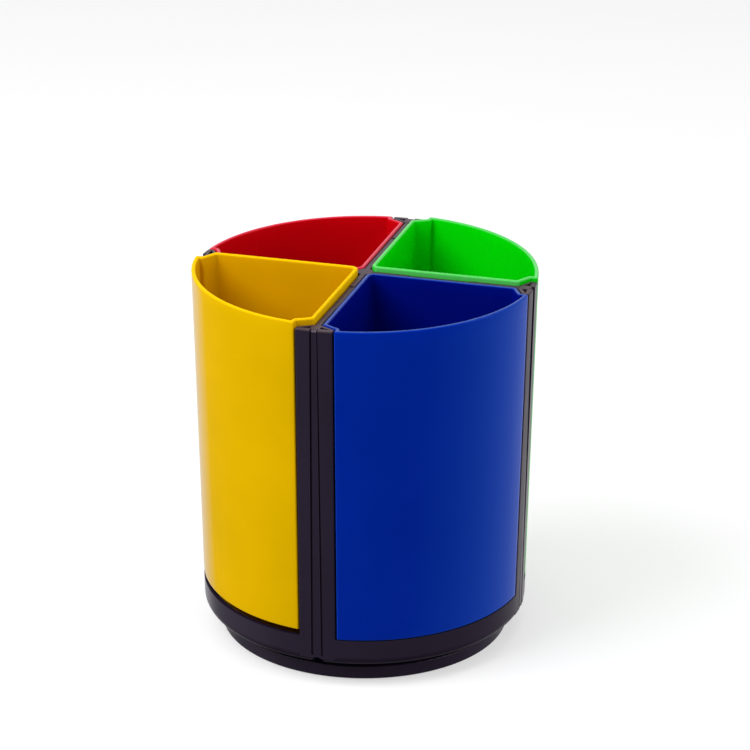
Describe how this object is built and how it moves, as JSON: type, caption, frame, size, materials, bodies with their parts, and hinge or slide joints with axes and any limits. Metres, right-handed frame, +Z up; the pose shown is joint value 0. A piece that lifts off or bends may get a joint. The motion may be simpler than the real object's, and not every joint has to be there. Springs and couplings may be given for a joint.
{
  "type": "rotating desk tool caddy",
  "caption": "Round desk caddy: lift-out coloured quarter cups stand in a black cross frame that turns on a low round foot.",
  "frame": {"origin": "centre of the resting face, on the turning axis", "axes": "+Z up along the turning axis; the four arms of the cross lie along +X, +Y, -X and -Y; the yellow cup is in the -X -Y quarter, blue +X -Y, green +X +Y, red -X +Y"},
  "size_m": [0.116, 0.116, 0.1295],
  "materials": {
    "foot_base": "moulded polystyrene, satin black",
    "foot_pads": "soft dark grey rubber",
    "ball_cage": "natural white acetal",
    "bearing_balls": "polished steel",
    "pivot_washer": "zinc-plated steel",
    "pivot_screw": "zinc-plated steel",
    "cross_frame": "moulded polystyrene, satin black",
    "yellow_cup": "moulded polystyrene, glossy yellow",
    "blue_cup": "moulded polystyrene, glossy blue",
    "green_cup": "moulded polystyrene, glossy green",
    "red_cup": "moulded polystyrene, glossy red"
  },
  "bodies": {
    "foot": {"foot_base": "foot_base", "foot_pads": "foot_pads"},
    "cage": {"ball_cage": "ball_cage", "bearing_balls": "bearing_balls"},
    "turntable": {"cross_frame": "cross_frame", "pivot_screw": "pivot_screw", "pivot_washer": "pivot_washer"},
    "yellow": {"yellow_cup": "yellow_cup"},
    "blue": {"blue_cup": "blue_cup"},
    "green": {"green_cup": "green_cup"},
    "red": {"red_cup": "red_cup"}
  },
  "joints": [
    {"name": "turntable_spin", "type": "hinge", "parent": "foot", "child": "turntable", "pos_m": [0, 0, 0], "axis": [0, 0, 1], "continuous": true},
    {"name": "cage_spin", "type": "hinge", "parent": "foot", "child": "cage", "pos_m": [0, 0, 0], "axis": [0, 0, 1], "continuous": true},
    {"name": "yellow_cup_lift", "type": "slide", "parent": "turntable", "child": "yellow", "axis": [0, 0, 1], "range_m": [-0.0019, 0.12]},
    {"name": "blue_cup_lift", "type": "slide", "parent": "turntable", "child": "blue", "axis": [0, 0, 1], "range_m": [0, 0.12]},
    {"name": "green_cup_lift", "type": "slide", "parent": "turntable", "child": "green", "axis": [0, 0, 1], "range_m": [-0.0011, 0.12]},
    {"name": "red_cup_lift", "type": "slide", "parent": "turntable", "child": "red", "axis": [0, 0, 1], "range_m": [0, 0.12]}
  ],
  "couplings": [
    {"joint": "cage_spin", "follows": "turntable_spin", "ratio": 0.5}
  ]
}
